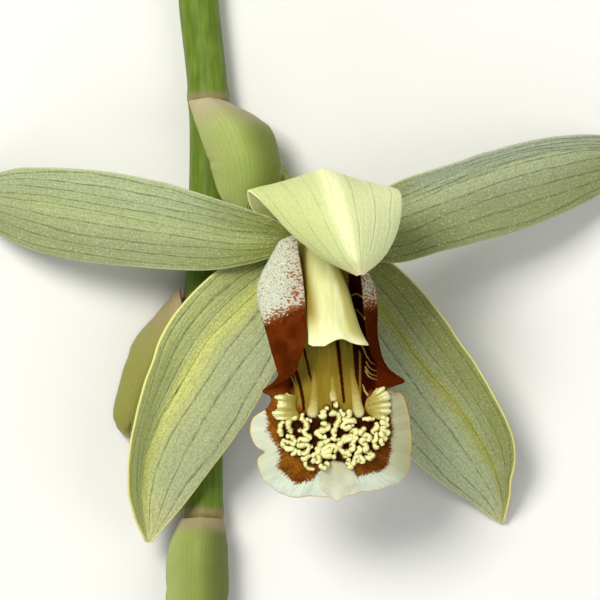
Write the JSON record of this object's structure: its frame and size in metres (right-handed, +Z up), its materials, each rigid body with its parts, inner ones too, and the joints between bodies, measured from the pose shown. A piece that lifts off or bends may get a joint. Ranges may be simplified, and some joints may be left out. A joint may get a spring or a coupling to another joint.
{
  "type": "orchid bloom on a cut spike",
  "caption": "Open pale green orchid bloom with a brown and white lip and a warty cream crest, on a cut length of its green spike with bracts, lying on its back.",
  "frame": {"origin": "middle of the bloom's and spike's box, on the surface that it lies on", "axes": "+Z up out of the face of the bloom, +Y along the spike towards its cut upper end, +X towards the right petal"},
  "size_m": [0.0684, 0.0741, 0.0253],
  "materials": {
    "spike_green": "smooth, slightly waxy living stem",
    "bract_olive": "satin living tissue with a pinkish rim",
    "ovary_green": "satin living tissue, ribbed",
    "hood_cream": "pale waxy petal with fine veins",
    "tepal_olive": "sparkling cells and dark veins",
    "lip_brown_white": "red-brown and white with a cream crest and ochre floor",
    "column_cream": "smooth waxy cream",
    "anther_yellow": "soft waxy cap",
    "pollen_yellow": "hard waxy masses"
  },
  "bodies": {
    "root": {"rachis": "spike_green", "bract_flower": "bract_olive", "bract_left": "bract_olive", "bract_lower": "bract_olive", "ovary": "ovary_green", "dorsal_sepal": "hood_cream", "petal_left": "tepal_olive", "petal_right": "tepal_olive", "lateral_sepal_left": "tepal_olive", "lateral_sepal_right": "tepal_olive", "lip": "lip_brown_white", "column": "column_cream", "anther_cap": "anther_yellow", "pollinia": "pollen_yellow"}
  },
  "joints": []
}
